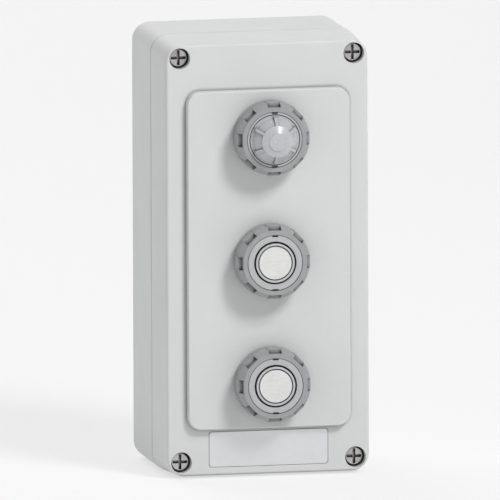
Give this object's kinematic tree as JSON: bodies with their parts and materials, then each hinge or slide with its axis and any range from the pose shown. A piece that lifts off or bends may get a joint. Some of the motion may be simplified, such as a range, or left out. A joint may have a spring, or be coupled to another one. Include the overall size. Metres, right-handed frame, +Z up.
{
  "type": "control station",
  "caption": "Upright wall-mounted control box with an indicator lamp above flush push-buttons on a raised panel.",
  "frame": {"origin": "centre of the flat rear face that lies against the wall", "axes": "+Z up along the column of buttons, +X to the right seen from the front, front faces -Y"},
  "size_m": [0.082, 0.0815, 0.1712],
  "materials": {
    "housing": "moulded, light grey, fine grain",
    "panel_seal": "matt black seal",
    "screw_steel": "bright stainless steel",
    "brass": "turned brass",
    "label": "satin, blank",
    "rail_steel": "zinc-plated sheet steel",
    "ring": "grey moulded",
    "collar": "grey moulded",
    "lens": "clear moulded lens",
    "lamp_glass": "clear glass",
    "head": "grey moulded",
    "disc": "light, blank",
    "stem": "white moulded",
    "spring_steel": "spring wire",
    "block": "dark grey moulded",
    "copper": "copper alloy strip"
  },
  "bodies": {
    "housing": {"base_housing": "housing", "front_cover": "housing", "cover_gasket": "panel_seal", "cover_screws": "screw_steel", "screw_washers": "panel_seal", "threaded_inserts": "brass", "label_plate": "label", "mounting_rail": "rail_steel", "rail_screws": "screw_steel", "earth_terminal": "brass", "earth_screw": "screw_steel", "terminal_screws": "screw_steel", "lamp_lens": "lens", "lens_seal": "panel_seal", "lamp_block": "block", "lamp_strips": "copper", "lamp_socket": "brass", "lamp_base": "brass", "lamp_dome": "lamp_glass", "clamp_ring_top": "ring", "panel_seal_top": "panel_seal", "collar_top": "collar", "clamp_ring_middle": "ring", "panel_seal_middle": "panel_seal", "collar_middle": "collar", "clamp_ring_bottom": "ring", "panel_seal_bottom": "panel_seal", "collar_bottom": "collar", "stem_seal_middle": "panel_seal", "return_spring_middle": "spring_steel", "contact_block_middle": "block", "contact_lid_middle": "block", "contact_strips_middle": "copper", "contact_spring_middle": "spring_steel", "stem_seal_bottom": "panel_seal", "return_spring_bottom": "spring_steel", "contact_block_bottom": "block", "contact_lid_bottom": "block", "contact_strips_bottom": "copper", "contact_spring_bottom": "spring_steel"},
    "middle_button": {"button_head_middle": "head", "button_disc_middle": "disc", "button_stem_middle": "stem"},
    "middle_contact": {"contact_plunger_middle": "stem", "contact_bridge_middle": "copper"},
    "bottom_button": {"button_head_bottom": "head", "button_disc_bottom": "disc", "button_stem_bottom": "stem"},
    "bottom_contact": {"contact_plunger_bottom": "stem", "contact_bridge_bottom": "copper"}
  },
  "joints": [
    {"name": "middle_button_press", "type": "slide", "parent": "housing", "child": "middle_button", "axis": [0, 1, 0], "range_m": [0, 0.004], "stiffness_N_per_m": 600, "springref_m": -0.004, "deforming": ["return_spring_middle"]},
    {"name": "middle_contact_slide", "type": "slide", "parent": "housing", "child": "middle_contact", "axis": [0, 1, 0], "range_m": [0, 0.004], "stiffness_N_per_m": 150, "springref_m": -0.003, "deforming": ["contact_spring_middle"]},
    {"name": "bottom_button_press", "type": "slide", "parent": "housing", "child": "bottom_button", "axis": [0, 1, 0], "range_m": [0, 0.004], "stiffness_N_per_m": 600, "springref_m": -0.004, "deforming": ["return_spring_bottom"]},
    {"name": "bottom_contact_slide", "type": "slide", "parent": "housing", "child": "bottom_contact", "axis": [0, 1, 0], "range_m": [0, 0.004], "stiffness_N_per_m": 150, "springref_m": -0.003, "deforming": ["contact_spring_bottom"]}
  ],
  "couplings": [
    {"joint": "middle_contact_slide", "follows": "middle_button_press", "ratio": 1},
    {"joint": "bottom_contact_slide", "follows": "bottom_button_press", "ratio": 1}
  ]
}
